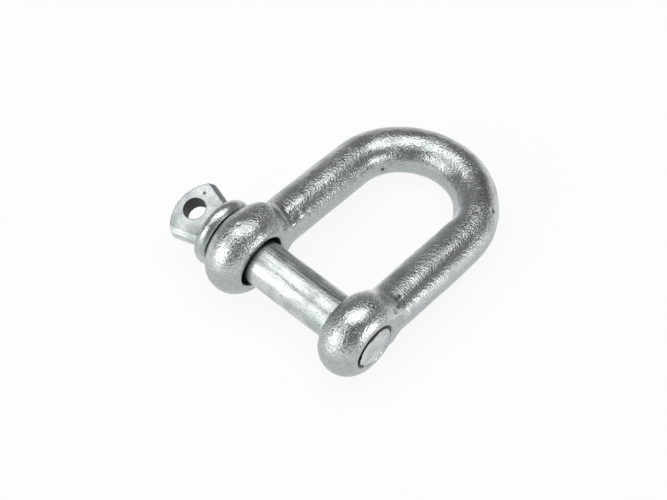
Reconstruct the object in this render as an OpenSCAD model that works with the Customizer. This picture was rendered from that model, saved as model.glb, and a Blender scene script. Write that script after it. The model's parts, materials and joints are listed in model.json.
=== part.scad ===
// Galvanised dee shackle for joining chain: a forged bow and the collared screw pin that closes it.
// Millimetres. The origin is on the pin's axis midway between the lugs, +X runs from the pin's head
// to its threaded tip, +Y towards the crown, and +Z up with the shackle lying on a flat surface.

/* [Bow] */
// Diameter of the round bar that the bow is bent from
bar_d = 16; // [13:0.5:20]
// Clear width between the two arms
jaw_w = 32; // [26:0.5:42]
// Clear length from the pin to the inside of the crown
inside_l = 60.5; // [48:0.5:90]
// Width of each lug along the pin, between its flat faces
lug_w = 15; // [11:0.1:15.5]
// Distance that the lugs are set in from the middle of their arms
lug_inset = 0.4; // [0:0.1:1.5]
// Metal left round each lug's hole
lug_wall = 6.8; // [5:0.1:9]
// Radius of the rounded rim of each lug
lug_rim_r = 8.4; // [7.8:0.1:12]
// Radius of the fillet where an arm runs into its lug
neck_r = 6; // [2:0.5:9]

/* [Lug holes] */
// Room round the pin in the plain hole of the head lug, on the radius
plain_gap = 1; // [0.7:0.05:1.4]
// Room round the thread in the tapped hole of the tip lug, on the radius
thread_gap = 0.15; // [0.1:0.05:0.3]
// Depth of the chamfer at each mouth of the plain hole
plain_chamfer = 1; // [0.3:0.1:1.2]
// Depth of the chamfer at each mouth of the tapped hole
tapped_chamfer = 0.5; // [0.2:0.1:1]

/* [Pin] */
// Diameter of the plain shank
pin_d = 15.6; // [12:0.1:19]
// Outside diameter of the thread at the tip
thread_d = 15.2; // [11:0.1:18.5]
// Length of the chamfer at the tip
tip_chamfer = 0.5; // [0.3:0.1:2]
// Distance that the shank stops short of the tapped lug
shoulder_gap = 0.3; // [0.2:0.1:1]
// Distance between the collar and the head lug when the pin is done up
seat_gap = 0.3; // [0.2:0.1:0.6]

/* [Pin head] */
// Outside diameter of the collar
collar_d = 24; // [20:0.2:30]
// Width of the collar along the pin
collar_w = 5; // [4:0.1:9]
// Radius of the collar's rounded rim
collar_rim_r = 3; // [2.5:0.1:6]
// Reach of the tab beyond the collar
tab_l = 15.5; // [11:0.5:20]
// Thickness of the tab between its flat faces
tab_t = 7; // [5:0.1:9]
// Width of the tab where it leaves the collar
tab_root_w = 16.4; // [13:0.2:19]
// Width of the tab across its outer corners
tab_tip_w = 22; // [18:0.2:25]
// Radius of the tab's rounded outer end
tab_end_r = 13.8; // [12.5:0.1:24]
// Radius that the two flanks of the tab are rounded to across its thickness
tab_flank_r = 7.2; // [7.1:0.1:12]
// Radius of the fillet between the tab's flat faces and the collar
tab_root_r = 3.6; // [1:0.1:4.5]
// Diameter of the eye in the tab
eye_d = 7.3; // [4:0.1:9]
// Distance of the eye's centre from the tab's outer end
eye_inset = 6.3; // [5.5:0.1:8]
// Turn of the tab about the pin, away from level
tab_turn = 16; // [-90:1:90]

/* [Hidden] */
$fn = 96;

// Depth that shapes run into each other where they join, so that none ends in a feather edge
bite = 0.1;

bar_r = bar_d / 2;
pin_r = pin_d / 2;
thread_r = thread_d / 2;

// Holes, and the lugs round them
plain_r = pin_r + plain_gap;
tapped_r = thread_r + thread_gap;
head_lug_r = plain_r + lug_wall;
tip_lug_r = tapped_r + lug_wall;

// Centre line of the bow
arm_x = jaw_w / 2 + bar_r;
straight_l = inside_l + pin_r - jaw_w / 2;
lug_x = arm_x - lug_inset;
lug_in_x = lug_x - lug_w / 2;
lug_out_x = lug_x + lug_w / 2;
// The rounded foot of an arm ends inside its lug
arm_foot_y = plain_r + neck_r;

// The bow lies on both lugs and on its crown, so its plane dips towards the crown
rest_drop = (head_lug_r + tip_lug_r) / 2 - bar_r;
rest_tilt = asin(rest_drop / (straight_l + arm_x));

// Stations along the pin
collar_seat_x = -lug_out_x - seat_gap;
collar_mid_x = collar_seat_x - collar_w / 2;
collar_back_x = collar_seat_x - collar_w;
tab_end_x = collar_back_x - tab_l;
shank_end_x = lug_in_x - shoulder_gap;
tip_x = lug_out_x;

// The tab's flanks spread from the collar to the corners of its round end
tab_corner_x = tab_end_x + tab_end_r - sqrt(pow(tab_end_r, 2) - pow(tab_tip_w / 2, 2));
tab_spread = atan2((tab_tip_w - tab_root_w) / 2, collar_back_x - tab_corner_x);
// Half the thickness of the tab's root, over both fillets
tab_root_h = tab_t / 2 - bite + tab_root_r;

// Turns a shape of revolution from the Z axis onto the pin's axis
module along_pin() {
    rotate([0, 90, 0]) children();
}

// Half section of a plate w thick that reaches out to r, with its rim rounded to rim_r
module rim_section(r, w, rim_r) {
    arc_r = max(rim_r, w / 2);
    intersection() {
        union() {
            translate([0, -w / 2]) square([r - arc_r, w]);
            translate([r - arc_r, 0]) circle(r = arc_r);
        }
        translate([0, -w / 2]) square([r, w]);
    }
}

// Disc on the pin's axis, centred on x
module rounded_disc(x, r, w, rim_r) {
    translate([x, 0, 0]) along_pin() rotate_extrude() rim_section(r, w, rim_r);
}

// Straight arm of the bow, with a round foot inside the lug and a core that bites into the crown
module arm() {
    rotate([-90, 0, 0]) rotate_extrude() intersection() {
        union() {
            translate([0, arm_foot_y]) square([bar_r, straight_l - arm_foot_y]);
            translate([0, arm_foot_y]) square([bar_r - bite, straight_l + bite - arm_foot_y]);
            translate([0, arm_foot_y]) circle(r = bar_r);
        }
        square([bar_r, straight_l + bite]);
    }
}

// Concave fillet round the arm where it meets a lug of radius lug_r, no wider than the lug,
// whose middle is off the arm's by lug_off
module neck(lug_r, lug_off) {
    from_pin = lug_r - bite + neck_r;
    from_arm = bar_r - bite + neck_r;
    centre_y = sqrt(pow(from_pin, 2) - pow(from_arm, 2));
    touch_r = from_arm * (lug_r - bite) / from_pin;
    neck_w = lug_w - 2 * bite;
    intersection() {
        rotate([-90, 0, 0]) rotate_extrude() difference() {
            translate([0, bar_r]) square([touch_r, centre_y - bar_r]);
            translate([from_arm, centre_y]) circle(r = neck_r);
        }
        translate([lug_off - neck_w / 2, 0, -bar_d]) cube([neck_w, from_pin, 2 * bar_d]);
    }
}

// Half ring that joins the two arms
module crown() {
    translate([0, straight_l, 0]) rotate_extrude(angle = 180) translate([arm_x, 0]) circle(r = bar_r);
}

// Hole through a lug centred on x, with a chamfer at both mouths
module lug_hole(x, r, chamfer) {
    translate([x, 0, 0]) along_pin() {
        cylinder(r = r, h = lug_w + bar_d, center = true);
        for (side = [0, 1]) mirror([0, 0, side]) translate([0, 0, lug_w / 2 - chamfer])
            cylinder(r1 = r, r2 = r + 2 * chamfer, h = 2 * chamfer);
    }
}

module bow() {
    color("silver") rotate([-rest_tilt, 0, 0]) difference() {
        union() {
            crown();
            for (side = [-1, 1]) translate([side * arm_x, 0, 0]) arm();
            translate([-arm_x, 0, 0]) neck(head_lug_r, lug_inset);
            translate([arm_x, 0, 0]) neck(tip_lug_r, -lug_inset);
            rounded_disc(-lug_x, head_lug_r, lug_w, lug_rim_r);
            rounded_disc(lug_x, tip_lug_r, lug_w, lug_rim_r);
        }
        lug_hole(-lug_x, plain_r, plain_chamfer);
        lug_hole(lug_x, tapped_r, tapped_chamfer);
    }
}

// Shank, shoulder, threaded end and tip chamfer, turned as one
module shank() {
    along_pin() rotate_extrude() polygon([
        [0, collar_mid_x],
        [pin_r, collar_mid_x],
        [pin_r, shank_end_x],
        [thread_r, shank_end_x],
        [thread_r, tip_x - tip_chamfer],
        [thread_r - tip_chamfer, tip_x],
        [0, tip_x]
    ]);
}

// Flat plate of the tab, with its round outer end
module tab_plate() {
    translate([0, 0, -tab_t / 2]) linear_extrude(tab_t) intersection() {
        translate([tab_end_x + tab_end_r, 0]) circle(r = tab_end_r);
        translate([tab_end_x - bite, -tab_end_r]) square([collar_mid_x + bite - tab_end_x, 2 * tab_end_r]);
    }
}

// Thick root of the tab, with a fillet from each flat face into the collar
module tab_root() {
    root_x = collar_back_x + bite - tab_root_r;
    rotate([90, 0, 0]) translate([0, 0, -tab_end_r]) linear_extrude(2 * tab_end_r) difference() {
        translate([root_x, -tab_root_h]) square([collar_mid_x - bite - root_x, 2 * tab_root_h]);
        for (side = [-1, 1]) translate([root_x, side * tab_root_h]) circle(r = tab_root_r);
    }
}

// Everything on the inner side of the tab's +Y flank, which is rounded across the thickness
module inside_flank() {
    reach = 2 * tab_end_r;
    translate([collar_back_x, tab_root_w / 2, 0]) rotate([0, 0, -tab_spread])
        translate([-reach, -reach, 0]) rotate([90, 0, 90])
            linear_extrude(2 * reach) rim_section(reach, 2 * (tab_root_h + bite), tab_flank_r);
}

// Fishtail tab with its eye, level across Y before it is turned
module tab() {
    difference() {
        intersection() {
            union() {
                tab_plate();
                tab_root();
            }
            inside_flank();
            mirror([0, 1, 0]) inside_flank();
        }
        translate([tab_end_x + eye_inset, 0, 0]) cylinder(d = eye_d, h = 2 * tab_t, center = true);
    }
}

module screw_pin() {
    color("gainsboro") union() {
        shank();
        rounded_disc(collar_mid_x, collar_d / 2, collar_w, collar_rim_r);
        rotate([tab_turn, 0, 0]) tab();
    }
}

bow();
screw_pin();
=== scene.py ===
"""Looks of a galvanised dee shackle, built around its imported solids.

The bow and the screw pin start as copies of their solids. Each is remeshed evenly, given the
unevenness of a forging and the marks of hot-dip zinc. The pin's end and the tapped lug get a real
thread, and the tab gets its bevels.
"""

import json
import math
from collections import namedtuple

import bpy
from bpy.props import FloatProperty, FloatVectorProperty, PointerProperty
from bpy.types import Operator, Panel, PropertyGroup
from mathutils import Matrix, Vector
from mathutils.kdtree import KDTree


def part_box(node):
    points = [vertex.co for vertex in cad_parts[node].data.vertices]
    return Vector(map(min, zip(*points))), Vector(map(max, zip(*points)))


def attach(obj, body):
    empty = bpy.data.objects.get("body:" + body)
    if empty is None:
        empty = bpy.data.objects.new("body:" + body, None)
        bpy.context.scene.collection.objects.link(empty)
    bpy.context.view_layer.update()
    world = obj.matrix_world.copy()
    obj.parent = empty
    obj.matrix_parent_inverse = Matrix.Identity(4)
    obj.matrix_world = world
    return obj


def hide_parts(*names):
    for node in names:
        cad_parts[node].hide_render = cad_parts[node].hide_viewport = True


bl_info = {
    "name": "Galvanised Dee Shackle",
    "version": (1, 0, 0),
    "blender": (4, 5, 0),
    "location": "View3D > Sidebar > Shackle",
    "description": "Models the looks of a forged, galvanised screw pin shackle around its solids",
    "category": "Add Mesh",
}

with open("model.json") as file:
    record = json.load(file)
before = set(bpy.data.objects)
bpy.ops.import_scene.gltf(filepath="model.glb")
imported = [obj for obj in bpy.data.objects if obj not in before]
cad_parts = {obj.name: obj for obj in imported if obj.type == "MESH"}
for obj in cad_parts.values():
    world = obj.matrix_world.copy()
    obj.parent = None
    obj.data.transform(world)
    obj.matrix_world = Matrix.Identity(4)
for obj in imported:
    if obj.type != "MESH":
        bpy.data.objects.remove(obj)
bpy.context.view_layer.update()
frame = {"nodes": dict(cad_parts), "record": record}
PIN_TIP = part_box("screw_pin")[1].x
EYE = next(mount for mount in frame["record"]["mounts"] if mount["name"] == "tab_eye")
EYE_PLACE = Vector(EYE["pos_m"])
EYE_AXIS = Vector(EYE["axis"])

MM = 0.001
PHOTO_WIDTH = 667
SENSOR_WIDTH = 36.0

# Steps of a thread's turn and sides of a round bar, chosen so that no edges of the two meet
THREAD_STEPS = 70
BAR_SIDES = 95

# Share of the way that a smoothing pass moves a vertex, and the angle from which an edge stays sharp
SMOOTHING = 0.5
SHARP_ANGLE = math.radians(40)

# The necks between the arms and the lugs, from and to along Y in millimetres
NECKS = (9, 24)
NECK_PASSES = 10

# Radius within which the lug holes get painted shade, in the plain and in the tapped hole
PLAIN_WALL = 9.3 * MM
TAPPED_WALL = 7.85 * MM

# Edges of the pin's zones, from and to: along the pin, and then out from its axis or the eye's
COLLAR_SEAT = (-32.5 * MM, -30.5 * MM)
TAB_ROOT = (-38 * MM, -37 * MM)
THREAD_START = (16.4 * MM, 16.8 * MM)
THREAD_EDGE = (30.2 * MM, 30.5 * MM)
THREAD_END = (31.02 * MM, 31.06 * MM)
END_FACE = (30.9 * MM, 31 * MM)
SHANK_WALL = (8 * MM, 8.6 * MM)
THREAD_GROOVE = (6.8 * MM, 7.6 * MM)
END_RIM = (9.1 * MM, 9.3 * MM)
EYE_WALL = (3.8 * MM, 4 * MM)

# A mark pushes the surface at a place along a way, over a width, and may leave dirt within a radius,
# all in millimetres
Mark = namedtuple("Mark", "place way depth width dirt")
BOW_MARKS = [
    # Flat shoulder and tight inner corner of the crown
    Mark((26.5, 70.5, -6.5), (-0.78, -0.62, 0.06), 1.0, 32, 0),
    Mark((15.7, 57.4, -2.6), (0.91, 0.27, -0.3), 0.75, 7, 0),
    # Fuller top of the head lug
    Mark((-26, 11.5, 11), (0, 0.6, 0.8), 1.5, 9, 0),
    # Drops of zinc on the neck behind the head lug
    Mark((-17.2, 16.5, 3.5), (0.75, 0, 0.65), 0.6, 3, 0),
    Mark((-18, 21, 3.5), (0.75, 0, 0.65), 0.35, 2.5, 0),
    # Pits on the head lug
    Mark((-24.3, -2, 15.5), (0, 0.1, -1), 0.3, 0.9, 0),
    Mark((-26, -15.3, 0.8), (0, 1, 0), 0.35, 1.2, 0),
    # Dirty pits on the inside and the outside of the crown
    Mark((-14.9, 57.9, -5.8), (-0.93, 0.37, 0), 0.6, 2.2, 0.9),
    Mark((25.8, 66.2, -0.1), (-0.58, -0.37, -0.73), 0.5, 1.3, 0.8),
    # Dirty scar on the neck behind the tip lug
    Mark((26.5, 14.7, 6.2), (-0.3, 0, -0.95), 0.3, 1.4, 0.95),
    Mark((26.6, 16.2, 6.1), (-0.3, 0, -0.95), 0.3, 1.4, 0.85),
    Mark((28.6, 16.2, 5), (-0.6, 0, -0.8), 0.3, 1.2, 0.7),
    Mark((28.7, 13.1, 5.8), (-0.5, -0.5, -0.7), 0.3, 1.2, 0.7),
]
PIN_MARKS = [
    # Dirty pit on the tab
    Mark((-47, 4.9, 5), (0, 0.28, -0.96), 0.22, 0.9, 0.45),
]

# Grain and gloss of the zinc on each piece, in the skin group's own inputs
BOW_SKIN = {
    "Patch Scale": 150,
    "Grain Scale": 1400,
    "Grain Height": 0.85,
    "Smooth": 0.2,
    "Rough": 0.3,
}
PIN_SKIN = {"Patch Scale": 120, "Grain Scale": 1600, "Grain Height": 0.3}

# Studio lights: direction in degrees, size in metres and brightness
Softbox = namedtuple("Softbox", "name azimuth elevation width height radiance")
SOFTBOXES = [
    Softbox("overhead_softbox", 221, 81, 1.26, 0.71, 2.05),
    Softbox("front_softbox", -18, 22.5, 0.74, 0.76, 2.2),
    Softbox("side_softbox", 102, 10, 0.52, 0.34, 3.4),
]
SOFTBOX_DISTANCE = 0.9
FLOOR_SIZE = 12


class ForgingSettings(PropertyGroup):
    """Mesh fineness and unevenness of the two forgings"""

    bow_cell: FloatProperty(
        name="Bow cell",
        description="Size of the bow's mesh cells",
        default=0.43 * MM,
        unit="LENGTH",
    )
    pin_cell: FloatProperty(
        name="Pin cell",
        description="Size of the pin's mesh cells",
        default=0.25 * MM,
        unit="LENGTH",
    )
    lump_size: FloatProperty(
        name="Lump size",
        description="Width of the forging's broad lumps",
        default=11 * MM,
        unit="LENGTH",
    )
    lump_depth: FloatProperty(
        name="Lump depth",
        description="Depth between the broad lumps",
        default=0.24 * MM,
        unit="LENGTH",
    )
    dimple_size: FloatProperty(
        name="Dimple size",
        description="Width of the zinc coat's dimples",
        default=2.6 * MM,
        unit="LENGTH",
    )
    dimple_depth: FloatProperty(
        name="Dimple depth",
        description="Depth of the zinc coat's dimples",
        default=0.09 * MM,
        unit="LENGTH",
    )
    turned_share: FloatProperty(
        name="Turned share",
        description="Unevenness left on the pin",
        default=0.4,
        subtype="FACTOR",
    )


class ThreadSettings(PropertyGroup):
    """Screw thread of the pin's end and of the tapped lug"""

    radius: FloatProperty(
        name="Radius",
        description="Outside radius of the pin's thread",
        default=7.6 * MM,
        unit="LENGTH",
    )
    depth: FloatProperty(
        name="Depth",
        description="Depth of the thread's grooves",
        default=1.1 * MM,
        unit="LENGTH",
    )
    pitch: FloatProperty(
        name="Pitch",
        description="Advance of the thread in one turn",
        default=2 * MM,
        unit="LENGTH",
    )
    room: FloatProperty(
        name="Room",
        description="Clearance round the thread in the lug",
        default=0.15 * MM,
        unit="LENGTH",
    )
    length: FloatProperty(
        name="Length",
        description="Length of the threaded end",
        default=15.3 * MM,
        unit="LENGTH",
    )
    chamfer: FloatProperty(
        name="Chamfer",
        description="Chamfer at the pin's tip",
        default=0.5 * MM,
        unit="LENGTH",
    )


class TabSettings(PropertyGroup):
    """Flat fishtail tab of the pin's head"""

    root: FloatProperty(
        name="Root",
        description="Place along the pin where the tab starts",
        default=-36.4 * MM,
        unit="LENGTH",
    )
    root_width: FloatProperty(
        name="Root width",
        description="Width of the tab at its root",
        default=16.4 * MM,
        unit="LENGTH",
    )
    thickness: FloatProperty(
        name="Thickness",
        description="Between the tab's flat faces",
        default=7 * MM,
        unit="LENGTH",
    )
    spread: FloatProperty(
        name="Spread",
        description="Slant of each flank",
        default=math.radians(15.6),
        subtype="ANGLE",
    )
    bevel: FloatProperty(
        name="Bevel",
        description="Reach of the bevel in from each flank",
        default=1.8 * MM,
        unit="LENGTH",
    )


class ZincSettings(PropertyGroup):
    """Colours of the zinc coat"""

    bright: FloatVectorProperty(
        name="Bright zinc",
        description="Clean zinc",
        default=(0.62, 0.65, 0.65),
        subtype="COLOR",
        size=3,
    )
    # The dull colour serves the random weathered patches and also the painted shade of the bow's sides
    # and underside
    dull: FloatVectorProperty(
        name="Dull zinc",
        description="Weathered zinc",
        default=(0.37, 0.4, 0.4),
        subtype="COLOR",
        size=3,
    )
    # The grime colour serves dirt in pits and also the painted shade in the lug holes, the pin's thread
    # and the eye
    grime_and_shade: FloatVectorProperty(
        name="Grime",
        description="Dirt in pits",
        default=(0.03, 0.033, 0.033),
        subtype="COLOR",
        size=3,
    )


class StageSettings(PropertyGroup):
    """Camera, floor and light of the studio"""

    azimuth: FloatProperty(
        name="Azimuth",
        description="Camera's turn round the part",
        default=math.radians(40.344),
        subtype="ANGLE",
    )
    elevation: FloatProperty(
        name="Elevation",
        description="Camera's height angle",
        default=math.radians(54.67),
        subtype="ANGLE",
    )
    roll: FloatProperty(
        name="Roll",
        description="Camera's turn about its view",
        default=math.radians(1.511),
        subtype="ANGLE",
    )
    distance: FloatProperty(
        name="Distance",
        description="From the camera to its aim",
        default=486 * MM,
        unit="LENGTH",
    )
    focal_pixels: FloatProperty(
        name="Focal length",
        description="In pixels of the photograph's frame",
        default=1517.39,
    )
    aim: FloatVectorProperty(
        name="Aim",
        description="Point that the camera and the lights face",
        default=(-2.904 * MM, 18.756 * MM, 0),
        unit="LENGTH",
        size=3,
    )
    floor_height: FloatProperty(
        name="Floor height",
        description="Height of the floor under the part",
        default=-15.09 * MM,
        unit="LENGTH",
    )
    floor_tilt: FloatProperty(
        name="Floor tilt",
        description="Lean of the floor, on which the uneven lugs and crown rest",
        default=math.radians(-1.253),
        subtype="ANGLE",
    )
    floor: FloatVectorProperty(
        name="Floor",
        description="Colour of the floor",
        default=(0.9, 0.9, 0.9),
        subtype="COLOR",
        size=3,
    )
    glow: FloatProperty(
        name="Floor glow",
        description="Share of plain white in the floor",
        default=0.9,
        subtype="FACTOR",
    )
    horizon: FloatProperty(
        name="Horizon",
        description="Grey of the room at the horizon",
        default=0.45,
    )
    ceiling: FloatProperty(
        name="Ceiling",
        description="Grey of the room overhead",
        default=0.13,
    )
    walls: FloatProperty(
        name="Walls",
        description="Grey of the room to the left and right",
        default=0.25,
    )


def only(obj):
    """Deselects all, then selects one object and makes it active."""
    if bpy.context.object and bpy.context.object.mode != "OBJECT":
        bpy.ops.object.mode_set(mode="OBJECT")
    bpy.ops.object.select_all(action="DESELECT")
    obj.select_set(True)
    bpy.context.view_layer.objects.active = obj


def deselect_mesh(obj, kind):
    """Leaves nothing of a mesh selected, in the select mode of that kind."""
    only(obj)
    bpy.ops.object.mode_set(mode="EDIT")
    bpy.ops.mesh.select_mode(type=kind)
    bpy.ops.mesh.select_all(action="DESELECT")
    bpy.ops.object.mode_set(mode="OBJECT")


def apply_modifier(obj, kind, **settings):
    """Adds a modifier, sets it and applies it."""
    only(obj)
    modifier = obj.modifiers.new(kind.title(), kind)
    for key, value in settings.items():
        setattr(modifier, key, value)
    bpy.ops.object.modifier_apply(modifier=modifier.name)
    if not obj.data.polygons:
        raise RuntimeError(f"{kind} left nothing of {obj.name}")


def copy_of_node(node, name):
    """New object with a merged copy of a solid's mesh."""
    same_place = 0.001 * MM
    obj = bpy.data.objects.new(name, frame["nodes"][node].data.copy())
    bpy.context.scene.collection.objects.link(obj)
    only(obj)
    obj.data.materials.clear()
    bpy.ops.mesh.customdata_custom_splitnormals_clear()
    bpy.ops.object.mode_set(mode="EDIT")
    bpy.ops.mesh.select_all(action="SELECT")
    bpy.ops.mesh.remove_doubles(threshold=same_place)
    bpy.ops.object.mode_set(mode="OBJECT")
    return obj


def combine(obj, tool, operation):
    """Boolean of obj with a tool object, which is then deleted."""
    apply_modifier(obj, "BOOLEAN", object=tool, operation=operation, solver="EXACT")
    bpy.data.objects.remove(tool, do_unlink=True)


def roughen(obj, name, size, depth):
    """Sinks the surface by up to depth, in lumps of about that size."""
    texture = bpy.data.textures.new(name, "CLOUDS")
    texture.noise_scale = size
    texture.noise_depth = 1
    apply_modifier(
        obj, "DISPLACE", texture=texture, texture_coords="LOCAL", strength=depth, mid_level=1.0
    )
    bpy.data.textures.remove(texture)


def forge(obj, cell, passes, share, settings):
    """Even mesh with soft edges and a share of the unevenness of a galvanised forging."""
    apply_modifier(obj, "REMESH", mode="VOXEL", voxel_size=cell)
    apply_modifier(obj, "SMOOTH", factor=SMOOTHING, iterations=passes)
    roughen(obj, "forging lumps", settings.lump_size, share * settings.lump_depth)
    roughen(obj, "zinc dimples", settings.dimple_size, share * settings.dimple_depth)


def dent(obj, marks):
    """Pushes the surface at each mark, with a smooth falloff over the mark's width."""
    tree = KDTree(len(obj.data.vertices))
    for vertex in obj.data.vertices:
        tree.insert(vertex.co, vertex.index)
    tree.balance()
    for mark in marks:
        index = tree.find(Vector(mark.place) * MM)[1]
        deselect_mesh(obj, "VERT")
        obj.data.vertices[index].select = True
        bpy.ops.object.mode_set(mode="EDIT")
        bpy.ops.transform.translate(
            value=Vector(mark.way).normalized() * mark.depth * MM,
            use_proportional_edit=True,
            proportional_edit_falloff="SMOOTH",
            proportional_size=mark.width * MM,
        )
        bpy.ops.object.mode_set(mode="OBJECT")


def smooth_between(obj, start, end, passes):
    """Smooths the vertices whose Y lies between two places."""
    deselect_mesh(obj, "VERT")
    for vertex in obj.data.vertices:
        vertex.select = start < vertex.co.y / MM < end
    bpy.ops.object.mode_set(mode="EDIT")
    bpy.ops.mesh.vertices_smooth(factor=SMOOTHING, repeat=passes)
    bpy.ops.object.mode_set(mode="OBJECT")


def bar_along_pin(name, radius, start, end):
    """Plain round bar on the pin's axis."""
    bpy.ops.object.select_all(action="DESELECT")
    bpy.ops.mesh.primitive_cylinder_add(
        vertices=BAR_SIDES,
        radius=radius,
        depth=end - start,
        location=((start + end) / 2, 0, 0),
        rotation=(0, math.pi / 2, 0),
    )
    bar = bpy.context.object
    bar.name = name
    bpy.ops.object.transform_apply(location=True, rotation=True, scale=True)
    return bar


def threaded_bar(name, start, end, crest, root, pitch):
    """Bar on the pin's axis with a right-hand thread, from one turned profile."""
    seam = 0.01 * MM
    flat = pitch / 8
    flank = (pitch - 2 * flat) / 2
    # One turn of the profile: root, rising flank, crest and falling flank
    moves = [
        (flat, 0, 0),
        (flank, 0, crest - root),
        (flat, 0, 0),
        (flank, 0, root - crest),
    ]
    first = start - pitch
    bpy.ops.object.select_all(action="DESELECT")
    bpy.ops.mesh.primitive_plane_add(size=pitch, location=(first, 0, root))
    bar = bpy.context.object
    bar.name = name
    bpy.ops.object.transform_apply(location=True, rotation=True, scale=True)
    bpy.ops.object.mode_set(mode="EDIT")
    bpy.ops.mesh.select_all(action="SELECT")
    bpy.ops.mesh.merge(type="CENTER")
    for move in moves:
        bpy.ops.mesh.extrude_region_move(TRANSFORM_OT_translate={"value": move})
    bpy.ops.object.mode_set(mode="OBJECT")
    turns = math.ceil((end - start) / pitch) + 2
    apply_modifier(
        bar,
        "SCREW",
        axis="X",
        angle=2 * math.pi,
        screw_offset=pitch,
        iterations=turns,
        steps=THREAD_STEPS,
        render_steps=THREAD_STEPS,
    )
    only(bar)
    bpy.ops.object.mode_set(mode="EDIT")
    bpy.ops.mesh.select_all(action="SELECT")
    bpy.ops.mesh.remove_doubles(threshold=seam)
    for place, way in ((start, -1), (end, 1)):
        bpy.ops.mesh.select_all(action="SELECT")
        bpy.ops.mesh.bisect(
            plane_co=(place, 0, 0), plane_no=(way, 0, 0), use_fill=True, clear_outer=True
        )
    bpy.ops.mesh.select_all(action="SELECT")
    bpy.ops.mesh.normals_make_consistent(inside=False)
    bpy.ops.object.mode_set(mode="OBJECT")
    return bar


def bevel_tab(pin, tab):
    """Bevels the four long edges of the tab with cuts at 45 degrees."""
    reach = 20 * MM
    clear_of_collar = 0.8 * MM
    to_tip = Vector((1, 0, 0))
    across = EYE_AXIS.cross(to_tip)
    for side in (-across, across):
        flank = to_tip * math.sin(tab.spread) + side * math.cos(tab.spread)
        along = side * math.sin(tab.spread) - to_tip * math.cos(tab.spread)
        for face in (-EYE_AXIS, EYE_AXIS):
            edge = to_tip * tab.root + side * tab.root_width / 2 + face * tab.thickness / 2
            slope = (flank + face).normalized()
            corner = edge - flank * tab.bevel + along * clear_of_collar
            middle = corner + (along + slope) * reach / 2
            bpy.ops.object.select_all(action="DESELECT")
            bpy.ops.mesh.primitive_cube_add(size=reach)
            cutter = bpy.context.object
            turn = Matrix((along, slope, along.cross(slope))).transposed().to_4x4()
            cutter.matrix_world = Matrix.Translation(middle) @ turn
            bpy.ops.object.transform_apply(location=True, rotation=True, scale=True)
            combine(pin, cutter, "DIFFERENCE")


def finish_piece(obj, body, node, material):
    """Shading, material and place of a piece in the frame."""
    only(obj)
    bpy.ops.object.shade_smooth_by_angle(angle=SHARP_ANGLE)
    obj.data.materials.clear()
    obj.data.materials.append(material)
    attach(obj, body)
    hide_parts(node)


def add_node(tree, kind, **settings):
    """New shader node with its settings."""
    node = tree.nodes.new(kind)
    for key, value in settings.items():
        setattr(node, key, value)
    return node


def noise(tree, vector, scale, times, detail):
    """Noise texture whose scale is a socket or number times a number."""
    texture = add_node(tree, "ShaderNodeTexNoise")
    texture.inputs["Detail"].default_value = detail
    tree.links.new(vector, texture.inputs["Vector"])
    tree.links.new(math_node(tree, "MULTIPLY", scale, times), texture.inputs["Scale"])
    return texture.outputs["Fac"]


def step(tree, value, low, high, to_low=0.0, to_high=1.0):
    """Smooth step of a value from low to high."""
    ramp = add_node(tree, "ShaderNodeMapRange", interpolation_type="SMOOTHSTEP")
    ramp.inputs["From Min"].default_value = low
    ramp.inputs["From Max"].default_value = high
    ramp.inputs["To Min"].default_value = to_low
    ramp.inputs["To Max"].default_value = to_high
    tree.links.new(value, ramp.inputs["Value"])
    return ramp.outputs["Result"]


def math_node(tree, operation, *values):
    """Math of up to three sockets or numbers."""
    node = add_node(tree, "ShaderNodeMath", operation=operation)
    for socket, value in zip(node.inputs, values):
        if isinstance(value, (int, float)):
            socket.default_value = value
        else:
            tree.links.new(value, socket)
    return node.outputs["Value"]


def spots(tree, vector, scale, share, inner, outer):
    """Round spots at a share of the cells of a Voronoi texture, fading from inner to outer radius."""
    cells = add_node(tree, "ShaderNodeTexVoronoi", feature="F1")
    tree.links.new(vector, cells.inputs["Vector"])
    tree.links.new(scale, cells.inputs["Scale"])
    draw = add_node(tree, "ShaderNodeSeparateColor")
    tree.links.new(cells.outputs["Color"], draw.inputs["Color"])
    chosen = math_node(tree, "LESS_THAN", draw.outputs["Red"], share)
    spot = step(tree, cells.outputs["Distance"], inner, outer, 1, 0)
    return math_node(tree, "MULTIPLY", chosen, spot)


def mixed(tree, factor, first, second):
    """Colour between two colour sockets."""
    mix = add_node(tree, "ShaderNodeMix", data_type="RGBA")
    tree.links.new(factor, mix.inputs["Factor"])
    tree.links.new(first, mix.inputs["A"])
    tree.links.new(second, mix.inputs["B"])
    return mix.outputs["Result"]


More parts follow.
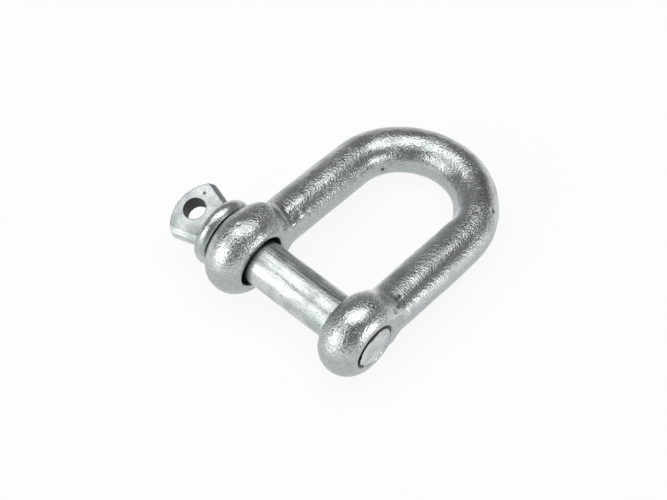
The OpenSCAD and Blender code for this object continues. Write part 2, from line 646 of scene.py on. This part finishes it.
def zinc_skin_group():
    """Mottle, grain and pits of a hot-dip zinc coat, plus the painted shade that a piece feeds in."""
    name = "zinc_skin"
    if name in bpy.data.node_groups:
        return bpy.data.node_groups[name]
    group = bpy.data.node_groups.new(name, "ShaderNodeTree")
    face = group.interface
    face.new_socket("Vector", in_out="INPUT", socket_type="NodeSocketVector")
    for label in ("Bright", "Dull", "Grime"):
        face.new_socket(label, in_out="INPUT", socket_type="NodeSocketColor")
    for label in ("Patch Scale", "Grain Scale", "Grain Height", "Smooth", "Rough", "Weather", "Hidden"):
        face.new_socket(label, in_out="INPUT", socket_type="NodeSocketFloat")
    face.new_socket("Colour", in_out="OUTPUT", socket_type="NodeSocketColor")
    for label in ("Metal", "Roughness", "Height"):
        face.new_socket(label, in_out="OUTPUT", socket_type="NodeSocketFloat")
    link = group.links.new
    given = add_node(group, "NodeGroupInput").outputs
    made = add_node(group, "NodeGroupOutput").inputs
    vector = given["Vector"]

    # Dull patches, zones of strong and of weak grain, and the grain itself
    patches = noise(group, vector, given["Patch Scale"], times=1, detail=4)
    mottle = step(group, patches, low=0.4, high=0.66)
    # A piece's side-shade input adds painted shade to the random dull patches, in colour and in
    # roughness
    dull_patch_and_side_shade = math_node(group, "MAXIMUM", mottle, given["Weather"])
    zones = noise(group, vector, given["Patch Scale"], times=0.6, detail=2)
    zone = step(group, zones, low=0.36, high=0.6, to_low=0.35, to_high=1)
    grains = noise(group, vector, given["Grain Scale"], times=1, detail=2)
    grain = step(group, grains, low=0.34, high=0.66)
    fine = noise(group, vector, given["Grain Scale"], times=2.7, detail=1)

    # Sparse pits, and dark specks twice as wide as the grain
    pit = spots(group, vector, given["Patch Scale"], share=0.3, inner=0.02, outer=0.06)
    speck_scale = math_node(group, "MULTIPLY", given["Grain Scale"], 0.5)
    speck = spots(group, vector, speck_scale, share=0.45, inner=0.08, outer=0.22)
    speck_darkness = math_node(group, "MULTIPLY", zone, 0.7)
    speck = math_node(group, "MULTIPLY", speck, speck_darkness)

    valley = math_node(group, "SUBTRACT", 1.0, grain)
    patch_wear_and_side_shade = math_node(group, "MULTIPLY", dull_patch_and_side_shade, 0.6)
    wear_and_side_shade = math_node(group, "MULTIPLY_ADD", valley, 0.4, patch_wear_and_side_shade)
    tone = mixed(group, wear_and_side_shade, given["Bright"], given["Dull"])
    # Pits and specks, which are dirt, and the fed-in painted shade and stains all take the dark colour
    # and lose their metal
    dirt = math_node(group, "MAXIMUM", math_node(group, "MAXIMUM", pit, speck), given["Hidden"])
    link(mixed(group, dirt, tone, given["Grime"]), made["Colour"])
    link(math_node(group, "SUBTRACT", 1.0, dirt), made["Metal"])

    span = math_node(group, "SUBTRACT", given["Rough"], given["Smooth"])
    rough = math_node(group, "MULTIPLY_ADD", span, dull_patch_and_side_shade, given["Smooth"])
    darkening_rough = math_node(group, "MULTIPLY", dirt, 0.6)
    link(math_node(group, "MAXIMUM", rough, darkening_rough), made["Roughness"])

    relief = math_node(group, "MULTIPLY_ADD", fine, 0.15, grain)
    relief = math_node(group, "MULTIPLY", relief, zone)
    relief = math_node(group, "MULTIPLY", relief, given["Grain Height"])
    link(math_node(group, "SUBTRACT", relief, pit), made["Height"])
    return group


def pin_axis_group():
    """Place along the pin and distance from its axis."""
    name = "pin_axis"
    if name in bpy.data.node_groups:
        return bpy.data.node_groups[name]
    group = bpy.data.node_groups.new(name, "ShaderNodeTree")
    face = group.interface
    face.new_socket("Vector", in_out="INPUT", socket_type="NodeSocketVector")
    face.new_socket("Along", in_out="OUTPUT", socket_type="NodeSocketFloat")
    face.new_socket("Radius", in_out="OUTPUT", socket_type="NodeSocketFloat")
    link = group.links.new
    split = add_node(group, "ShaderNodeSeparateXYZ")
    link(add_node(group, "NodeGroupInput").outputs["Vector"], split.inputs["Vector"])
    across = add_node(group, "ShaderNodeCombineXYZ")
    link(split.outputs["Y"], across.inputs["Y"])
    link(split.outputs["Z"], across.inputs["Z"])
    length = add_node(group, "ShaderNodeVectorMath", operation="LENGTH")
    link(across.outputs["Vector"], length.inputs[0])
    made = add_node(group, "NodeGroupOutput").inputs
    link(split.outputs["X"], made["Along"])
    link(length.outputs["Value"], made["Radius"])
    return group


def scratch_group():
    """Fine scratches that run lengthwise along X."""
    name = "lengthwise_scratches"
    if name in bpy.data.node_groups:
        return bpy.data.node_groups[name]
    group = bpy.data.node_groups.new(name, "ShaderNodeTree")
    face = group.interface
    face.new_socket("Vector", in_out="INPUT", socket_type="NodeSocketVector")
    face.new_socket("Scale", in_out="INPUT", socket_type="NodeSocketFloat")
    face.new_socket("Scratch", in_out="OUTPUT", socket_type="NodeSocketFloat")
    link = group.links.new
    given = add_node(group, "NodeGroupInput").outputs
    lengthwise = 0.04
    stretch = add_node(group, "ShaderNodeVectorMath", operation="MULTIPLY")
    stretch.inputs[1].default_value = (lengthwise, 1, 1)
    link(given["Vector"], stretch.inputs[0])
    lines = noise(group, stretch.outputs["Vector"], given["Scale"], times=1, detail=2)
    made = add_node(group, "NodeGroupOutput").inputs
    link(step(group, lines, low=0.55, high=0.7), made["Scratch"])
    return group


class ZincMaterial:
    """Metal with the zinc skin, whose inputs a piece can then drive."""

    def __init__(self, name, settings, values):
        self.material = bpy.data.materials.new(name)
        self.material.use_nodes = True
        self.tree = self.material.node_tree
        self.tree.nodes.clear()
        link = self.tree.links.new
        lookup = add_node(self.tree, "ShaderNodeTexCoord")
        self.place = lookup.outputs["Object"]
        self.normal = lookup.outputs["Normal"]
        self.skin = add_node(self.tree, "ShaderNodeGroup", node_tree=zinc_skin_group())
        link(self.place, self.skin.inputs["Vector"])
        colours = {"Bright": settings.bright, "Dull": settings.dull, "Grime": settings.grime_and_shade}
        for label, colour in colours.items():
            self.skin.inputs[label].default_value = (*colour, 1)
        for label, value in values.items():
            self.skin.inputs[label].default_value = value
        axis = add_node(self.tree, "ShaderNodeGroup", node_tree=pin_axis_group())
        link(self.place, axis.inputs["Vector"])
        self.along = axis.outputs["Along"]
        self.radius = axis.outputs["Radius"]
        self.bump = add_node(self.tree, "ShaderNodeBump")
        self.bump.inputs["Strength"].default_value = 1
        self.bump.inputs["Distance"].default_value = 0.1 * MM
        link(self.skin.outputs["Height"], self.bump.inputs["Height"])
        metal = add_node(self.tree, "ShaderNodeBsdfPrincipled")
        link(self.skin.outputs["Colour"], metal.inputs["Base Color"])
        link(self.skin.outputs["Metal"], metal.inputs["Metallic"])
        link(self.skin.outputs["Roughness"], metal.inputs["Roughness"])
        link(self.bump.outputs["Normal"], metal.inputs["Normal"])
        out = add_node(self.tree, "ShaderNodeOutputMaterial")
        link(metal.outputs["BSDF"], out.inputs["Surface"])

    def step(self, value, low, high, to_low=0.0, to_high=1.0):
        """Smooth step in this material."""
        return step(self.tree, value, low, high, to_low, to_high)

    def math(self, operation, *values):
        """Math in this material."""
        return math_node(self.tree, operation, *values)

    def stains(self, marks):
        """Dark spots at the bottom of the dirty marks."""
        dark = 0.0
        for mark in marks:
            if mark.dirt:
                bottom = Vector(mark.place) + Vector(mark.way) * mark.depth
                away = add_node(self.tree, "ShaderNodeVectorMath", operation="DISTANCE")
                away.inputs[1].default_value = bottom * MM
                self.tree.links.new(self.place, away.inputs[0])
                rim = mark.dirt * MM
                core = 0.6 * rim
                spot = self.step(away.outputs["Value"], core, rim, to_low=0.9, to_high=0)
                dark = self.math("MAXIMUM", spot, dark)
        return dark

    def drive(self, label, value):
        """Links a socket to one of the skin's inputs."""
        self.tree.links.new(value, self.skin.inputs[label])


def bow_zinc(settings):
    """Zinc of the bow, with painted shade in a duller colour on its sides and underside, which are also
    rougher, dirt in its marks, and painted shade in its two holes.
    """
    zinc = ZincMaterial("bow_zinc", settings, BOW_SKIN)
    # Painted shade on the sides and underside: the less the normal points up, the more the zinc takes
    # its dull colour, and it gets rougher there too
    lean = add_node(zinc.tree, "ShaderNodeSeparateXYZ")
    zinc.tree.links.new(zinc.normal, lean.inputs["Vector"])
    zinc.drive("Weather", zinc.step(lean.outputs["Z"], low=0.15, high=0.5, to_low=1, to_high=0))
    # Painted shade in the two lug holes round the pin: inside these radii from the pin's axis the zinc
    # turns dark and loses its metal, and the stains of the dirty marks join it
    wall = zinc.step(zinc.along, -MM, MM, PLAIN_WALL, TAPPED_WALL)
    past_wall = zinc.math("SUBTRACT", zinc.radius, wall)
    hole_shade = zinc.step(past_wall, low=-0.2 * MM, high=0.1 * MM, to_low=1, to_high=0)
    zinc.drive("Hidden", zinc.math("MAXIMUM", hole_shade, zinc.stains(BOW_MARKS)))
    return zinc.material


def pin_zinc(settings):
    """Zinc of the pin: matt on the tab, scratched on the shank, with painted shade in the thread, at
    the end's rim and in the eye.
    """
    zinc = ZincMaterial("pin_zinc", settings, PIN_SKIN)
    tree = zinc.tree
    shank = zinc.math(
        "MULTIPLY",
        zinc.step(zinc.along, *COLLAR_SEAT),
        zinc.step(zinc.radius, *SHANK_WALL, to_low=1, to_high=0),
    )
    facing = add_node(tree, "ShaderNodeVectorMath", operation="DOT_PRODUCT")
    facing.inputs[1].default_value = EYE_AXIS
    tree.links.new(zinc.normal, facing.inputs[0])
    level = zinc.math("ABSOLUTE", facing.outputs["Value"])
    flat = zinc.math(
        "MULTIPLY",
        zinc.step(level, low=0.93, high=0.99),
        zinc.step(zinc.along, *TAB_ROOT, to_low=1, to_high=0),
    )
    zinc.drive("Smooth", zinc.step(flat, 0, 1, to_low=0.26, to_high=0.42))
    zinc.drive("Rough", zinc.step(flat, 0, 1, to_low=0.38, to_high=0.52))

    # Painted shade in the thread's grooves and over its last turn, and a ragged dark ring reaching in
    # from the end's rim, where the gap to the lug lies in shadow
    thread = zinc.math(
        "MULTIPLY",
        zinc.step(zinc.along, *THREAD_START),
        zinc.step(zinc.along, *THREAD_END, to_low=1, to_high=0),
    )
    groove = zinc.step(zinc.radius, *THREAD_GROOVE, to_low=1, to_high=0.3)
    edge = zinc.step(zinc.along, *THREAD_EDGE)
    thread_shade = zinc.math("MULTIPLY", thread, zinc.math("MAXIMUM", groove, edge))
    ragged_scale = 260
    ragged_span = 4 * MM
    ragged = noise(tree, zinc.place, ragged_scale, times=1, detail=2)
    ragged_offset = zinc.math("MULTIPLY", ragged, ragged_span)
    rim = zinc.step(zinc.math("ADD", zinc.radius, ragged_offset), *END_RIM)
    end = zinc.step(zinc.along, *END_FACE)
    thread_shade = zinc.math("MAXIMUM", thread_shade, zinc.math("MULTIPLY", rim, end))

    # Painted shade in the eye, by the distance from its axis
    from_eye = add_node(tree, "ShaderNodeVectorMath", operation="SUBTRACT")
    from_eye.inputs[1].default_value = EYE_PLACE
    tree.links.new(zinc.place, from_eye.inputs[0])
    across = add_node(tree, "ShaderNodeVectorMath", operation="CROSS_PRODUCT")
    across.inputs[1].default_value = EYE_AXIS
    tree.links.new(from_eye.outputs["Vector"], across.inputs[0])
    eye_radius = add_node(tree, "ShaderNodeVectorMath", operation="LENGTH")
    tree.links.new(across.outputs["Vector"], eye_radius.inputs[0])
    eye = zinc.step(eye_radius.outputs["Value"], *EYE_WALL, to_low=1, to_high=0)
    dirt = zinc.math("MAXIMUM", thread_shade, eye)
    # The painted shade of the thread, the end and the eye joins the stain of the dirty pit
    zinc.drive("Hidden", zinc.math("MAXIMUM", dirt, zinc.stains(PIN_MARKS)))

    lines = add_node(tree, "ShaderNodeGroup", node_tree=scratch_group())
    lines.inputs["Scale"].default_value = 1500
    tree.links.new(zinc.place, lines.inputs["Vector"])
    scratch_depth = zinc.math("MULTIPLY", shank, 0.5)
    cut = zinc.math("MULTIPLY", lines.outputs["Scratch"], scratch_depth)
    height = zinc.math("SUBTRACT", zinc.skin.outputs["Height"], cut)
    tree.links.new(height, zinc.bump.inputs["Height"])
    return zinc.material


class SHACKLE_OT_bow(Operator):
    """Models the forged bow with its lugs and the thread of the tapped lug"""

    bl_idname = "shackle.bow"
    bl_label = "Forged Bow"

    def execute(self, context):
        forging = context.scene.shackle_forging
        thread = context.scene.shackle_thread
        bow = copy_of_node("bow", "forged_bow")
        forge(bow, forging.bow_cell, passes=3, share=1, settings=forging)
        smooth_between(bow, *NECKS, passes=NECK_PASSES)
        dent(bow, BOW_MARKS)

        # A sleeve fills the hole between its two mouths, for the tap to cut
        lug_face = PIN_TIP
        mouth = thread.chamfer
        sleeve = bar_along_pin(
            "sleeve",
            thread.radius + thread.depth,
            lug_face - thread.length + 2 * mouth,
            lug_face - 1.5 * mouth,
        )
        combine(bow, sleeve, "UNION")
        tap = threaded_bar(
            "tap",
            lug_face - thread.length - thread.pitch,
            lug_face + thread.pitch,
            thread.radius + thread.room,
            thread.radius - thread.depth + thread.room,
            thread.pitch,
        )
        combine(bow, tap, "DIFFERENCE")

        finish_piece(bow, "bow", "bow", bow_zinc(context.scene.shackle_zinc))
        return {"FINISHED"}


class SHACKLE_OT_screw_pin(Operator):
    """Models the screw pin with its collar, its tab and its threaded end"""

    bl_idname = "shackle.screw_pin"
    bl_label = "Screw Pin"

    def execute(self, context):
        forging = context.scene.shackle_forging
        thread = context.scene.shackle_thread
        pin = copy_of_node("screw_pin", "screw_pin_piece")
        bevel_tab(pin, context.scene.shackle_tab)

        # The plain end is cut off just inside the shank, to make room for the threaded one
        shoulder = PIN_TIP - thread.length
        inside_shank = 0.2 * MM
        only(pin)
        bpy.ops.object.mode_set(mode="EDIT")
        bpy.ops.mesh.select_all(action="SELECT")
        bpy.ops.mesh.bisect(
            plane_co=(shoulder - inside_shank, 0, 0),
            plane_no=(1, 0, 0),
            use_fill=True,
            clear_outer=True,
        )
        bpy.ops.object.mode_set(mode="OBJECT")
        forge(pin, forging.pin_cell, passes=1, share=forging.turned_share, settings=forging)
        dent(pin, PIN_MARKS)

        end = threaded_bar(
            "threaded_end",
            shoulder - thread.pitch,
            PIN_TIP + thread.pitch,
            thread.radius,
            thread.radius - thread.depth,
            thread.pitch,
        )
        # The blank is a little wider than the thread, trims it at the tip and gives it its chamfer
        blank = bar_along_pin(
            "blank", thread.radius + thread.room, shoulder - 2 * thread.pitch, PIN_TIP
        )
        deselect_mesh(blank, "FACE")
        facing_out = 0.9
        for face in blank.data.polygons:
            face.select = face.normal.x > facing_out
        bpy.ops.object.mode_set(mode="EDIT")
        bpy.ops.mesh.bevel(offset=thread.chamfer + thread.room, segments=1)
        bpy.ops.object.mode_set(mode="OBJECT")
        combine(end, blank, "INTERSECT")
        combine(pin, end, "UNION")

        finish_piece(pin, "pin", "screw_pin", pin_zinc(context.scene.shackle_zinc))
        return {"FINISHED"}


def floor_material(settings):
    """Pale floor that is seen and mirrored as near white, and keeps the part's shadow."""
    material = bpy.data.materials.new("studio_floor")
    material.use_nodes = True
    tree = material.node_tree
    tree.nodes.clear()
    link = tree.links.new
    paint = add_node(tree, "ShaderNodeBsdfDiffuse")
    paint.inputs["Color"].default_value = (*settings.floor, 1)
    white = add_node(tree, "ShaderNodeEmission")
    path = add_node(tree, "ShaderNodeLightPath").outputs
    seen = math_node(tree, "MAXIMUM", path["Is Camera Ray"], path["Is Glossy Ray"])
    seen = math_node(tree, "MAXIMUM", seen, path["Is Transmission Ray"])
    mix = add_node(tree, "ShaderNodeMixShader")
    link(math_node(tree, "MULTIPLY", seen, settings.glow), mix.inputs["Fac"])
    link(paint.outputs["BSDF"], mix.inputs[1])
    link(white.outputs["Emission"], mix.inputs[2])
    out = add_node(tree, "ShaderNodeOutputMaterial")
    link(mix.outputs["Shader"], out.inputs["Surface"])
    return material


def toward(azimuth, elevation):
    """Unit vector, where azimuth 0 is towards -Y and 90 degrees towards +X."""
    return Vector(
        (
            math.sin(azimuth) * math.cos(elevation),
            -math.cos(azimuth) * math.cos(elevation),
            math.sin(elevation),
        )
    )


def add_softbox(softbox, aim):
    """Area light of an even brightness that faces the aim."""
    way = toward(math.radians(softbox.azimuth), math.radians(softbox.elevation))
    bpy.ops.object.select_all(action="DESELECT")
    bpy.ops.object.light_add(type="AREA", location=aim + way * SOFTBOX_DISTANCE)
    lamp = bpy.context.object
    lamp.name = softbox.name
    lamp.rotation_mode = "QUATERNION"
    lamp.rotation_quaternion = way.to_track_quat("Z", "Y")
    lamp.data.shape = "RECTANGLE"
    lamp.data.size = softbox.width
    lamp.data.size_y = softbox.height
    lamp.data.energy = softbox.radiance * math.pi * softbox.width * softbox.height


def studio_room(settings):
    """World of a grey room that is dark overhead and paler at the horizon, the left and the right."""
    world = bpy.data.worlds.new("studio_room")
    world.use_nodes = True
    tree = world.node_tree
    tree.nodes.clear()
    link = tree.links.new
    place = add_node(tree, "ShaderNodeTexCoord")
    split = add_node(tree, "ShaderNodeSeparateXYZ")
    link(place.outputs["Generated"], split.inputs["Vector"])
    height = split.outputs["Z"]
    grey = step(tree, height, low=0, high=0.4, to_low=settings.horizon, to_high=settings.ceiling)
    sideways = math_node(tree, "ABSOLUTE", split.outputs["X"])
    walls = step(tree, sideways, low=0.2, high=0.5, to_low=0, to_high=settings.walls)
    light = add_node(tree, "ShaderNodeBackground")
    light.inputs["Color"].default_value = (1, 1, 1, 1)
    link(math_node(tree, "MAXIMUM", grey, walls), light.inputs["Strength"])
    out = add_node(tree, "ShaderNodeOutputWorld")
    link(light.outputs["Background"], out.inputs["Surface"])
    return world


def photo_camera(settings):
    """Camera at the photograph's angle, distance and focal length."""
    back = toward(settings.azimuth, settings.elevation)
    level = Vector((math.cos(settings.azimuth), math.sin(settings.azimuth), 0))
    right = Matrix.Rotation(settings.roll, 3, back) @ level
    up = back.cross(right)
    turn = Matrix((right, up, back)).transposed().to_4x4()
    place = Vector(settings.aim) + back * settings.distance
    bpy.ops.object.select_all(action="DESELECT")
    bpy.ops.object.camera_add()
    camera = bpy.context.object
    camera.name = "photo_camera"
    camera.matrix_world = Matrix.Translation(place) @ turn
    camera.data.sensor_width = SENSOR_WIDTH
    camera.data.lens = settings.focal_pixels * SENSOR_WIDTH / PHOTO_WIDTH
    camera.data.clip_start = 10 * MM
    return camera


class SHACKLE_OT_stage(Operator):
    """Makes the floor, the studio light and the camera"""

    bl_idname = "shackle.stage"
    bl_label = "Studio Stage"

    def execute(self, context):
        settings = context.scene.shackle_stage
        bpy.ops.object.select_all(action="DESELECT")
        bpy.ops.mesh.primitive_plane_add(
            size=FLOOR_SIZE,
            location=(0, 0, settings.floor_height),
            rotation=(0, settings.floor_tilt, 0),
        )
        floor = context.object
        floor.name = "studio_floor"
        floor.data.materials.append(floor_material(settings))
        for softbox in SOFTBOXES:
            add_softbox(softbox, Vector(settings.aim))
        context.scene.world = studio_room(settings)
        context.scene.camera = photo_camera(settings)
        context.scene.view_settings.view_transform = "Standard"
        return {"FINISHED"}


class SHACKLE_PT_panel(Panel):
    """Sidebar panel with the shackle's settings and pieces"""

    bl_label = "Dee Shackle"
    bl_idname = "SHACKLE_PT_panel"
    bl_space_type = "VIEW_3D"
    bl_region_type = "UI"
    bl_category = "Shackle"

    def draw(self, context):
        for name, group in SETTINGS.items():
            box = self.layout.box()
            for field in group.__annotations__:
                box.prop(getattr(context.scene, name), field)
        for operator in OPERATORS:
            self.layout.operator(operator.bl_idname)


OPERATORS = (SHACKLE_OT_bow, SHACKLE_OT_screw_pin, SHACKLE_OT_stage)
SETTINGS = {
    "shackle_forging": ForgingSettings,
    "shackle_thread": ThreadSettings,
    "shackle_tab": TabSettings,
    "shackle_zinc": ZincSettings,
    "shackle_stage": StageSettings,
}


def register():
    """Adds the settings, the operators and the panel to Blender."""
    for group in SETTINGS.values():
        bpy.utils.register_class(group)
    for name, group in SETTINGS.items():
        setattr(bpy.types.Scene, name, PointerProperty(type=group))
    for operator in OPERATORS:
        bpy.utils.register_class(operator)
    bpy.utils.register_class(SHACKLE_PT_panel)


def unregister():
    """Takes the panel, the operators and the settings out again."""
    bpy.utils.unregister_class(SHACKLE_PT_panel)
    for operator in reversed(OPERATORS):
        bpy.utils.unregister_class(operator)
    for name, group in reversed(SETTINGS.items()):
        delattr(bpy.types.Scene, name)
        bpy.utils.unregister_class(group)


def main():
    register()
    bpy.ops.shackle.bow()
    bpy.ops.shackle.screw_pin()
    bpy.ops.shackle.stage()


if __name__ == "__main__":
    main()
